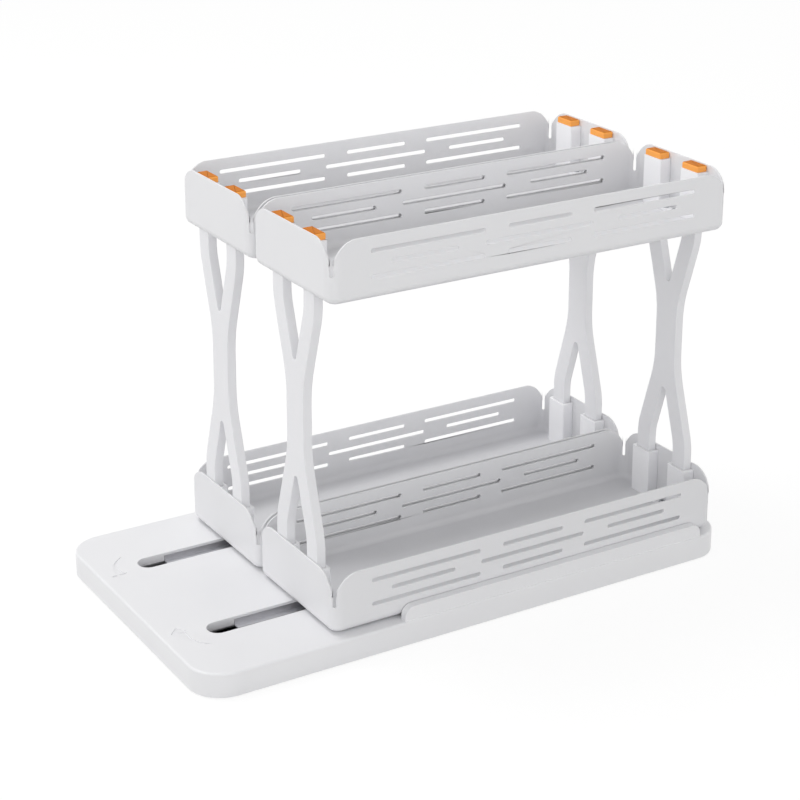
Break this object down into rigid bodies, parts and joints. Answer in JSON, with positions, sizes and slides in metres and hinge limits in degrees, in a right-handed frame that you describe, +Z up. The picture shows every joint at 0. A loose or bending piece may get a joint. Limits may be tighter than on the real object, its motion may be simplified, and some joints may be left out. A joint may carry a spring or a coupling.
{
  "type": "two-tier storage rack",
  "caption": "Two-tier pull-out storage rack: paired narrow columns of trays on X-shaped uprights slide and swing out on one slotted base board.",
  "frame": {"origin": "middle of the plane that the rubber feet stand on, under the centre of the base board", "axes": "+Z up; +Y to the rear, so the columns pull out along -Y; +X to the right seen from the pull-out end looking to the rear"},
  "size_m": [0.216, 0.4, 0.2736],
  "materials": {
    "tray_paint": "satin",
    "base_plastic": "fine matt",
    "cover_plastic": "matt",
    "rail_steel": "brushed",
    "foot_rubber": "matt",
    "upright_plastic": "satin",
    "holder_plastic": "satin",
    "cap_plastic": "satin",
    "screw_steel": "zinc plated",
    "glide_plastic": "smooth",
    "pivot_steel": "zinc plated"
  },
  "bodies": {
    "base": {"base_shell": "base_plastic", "base_cover": "cover_plastic", "guide_rail_left": "rail_steel", "guide_rail_right": "rail_steel", "rail_screws": "screw_steel", "base_screws": "screw_steel", "rubber_feet": "foot_rubber"},
    "left_column": {"left_lower_tray": "tray_paint", "left_upper_tray": "tray_paint", "left_front_upright": "upright_plastic", "left_rear_upright": "upright_plastic", "left_lower_front_sockets": "holder_plastic", "left_lower_rear_sockets": "holder_plastic", "left_upper_front_posts": "holder_plastic", "left_upper_rear_posts": "holder_plastic", "left_front_outer_cap": "cap_plastic", "left_front_inner_cap": "cap_plastic", "left_rear_outer_cap": "cap_plastic", "left_rear_inner_cap": "cap_plastic", "left_bracket_screws": "screw_steel", "left_glide_ring": "glide_plastic", "left_pivot_plate": "pivot_steel", "left_retaining_washer": "pivot_steel", "left_pivot_screw": "screw_steel"},
    "left_shoe": {"left_pivot_shoe": "glide_plastic"},
    "right_column": {"right_lower_tray": "tray_paint", "right_upper_tray": "tray_paint", "right_front_upright": "upright_plastic", "right_rear_upright": "upright_plastic", "right_lower_front_sockets": "holder_plastic", "right_lower_rear_sockets": "holder_plastic", "right_upper_front_posts": "holder_plastic", "right_upper_rear_posts": "holder_plastic", "right_front_outer_cap": "cap_plastic", "right_front_inner_cap": "cap_plastic", "right_rear_outer_cap": "cap_plastic", "right_rear_inner_cap": "cap_plastic", "right_bracket_screws": "screw_steel", "right_glide_ring": "glide_plastic", "right_pivot_plate": "pivot_steel", "right_retaining_washer": "pivot_steel", "right_pivot_screw": "screw_steel"},
    "right_shoe": {"right_pivot_shoe": "glide_plastic"}
  },
  "joints": [
    {"name": "left_slide", "type": "slide", "parent": "base", "child": "left_column", "axis": [0, -1, 0], "range_m": [0, 0.256]},
    {"name": "right_slide", "type": "slide", "parent": "base", "child": "right_column", "axis": [0, -1, 0], "range_m": [0, 0.256]},
    {"name": "left_shoe_turn", "type": "hinge", "parent": "left_column", "child": "left_shoe", "pos_m": [-0.0522, 0.093, 0.014], "axis": [0, 0, -1], "range_deg": [0, 90]},
    {"name": "right_shoe_turn", "type": "hinge", "parent": "right_column", "child": "right_shoe", "pos_m": [0.0522, 0.093, 0.014], "axis": [0, 0, 1], "range_deg": [0, 90]}
  ]
}
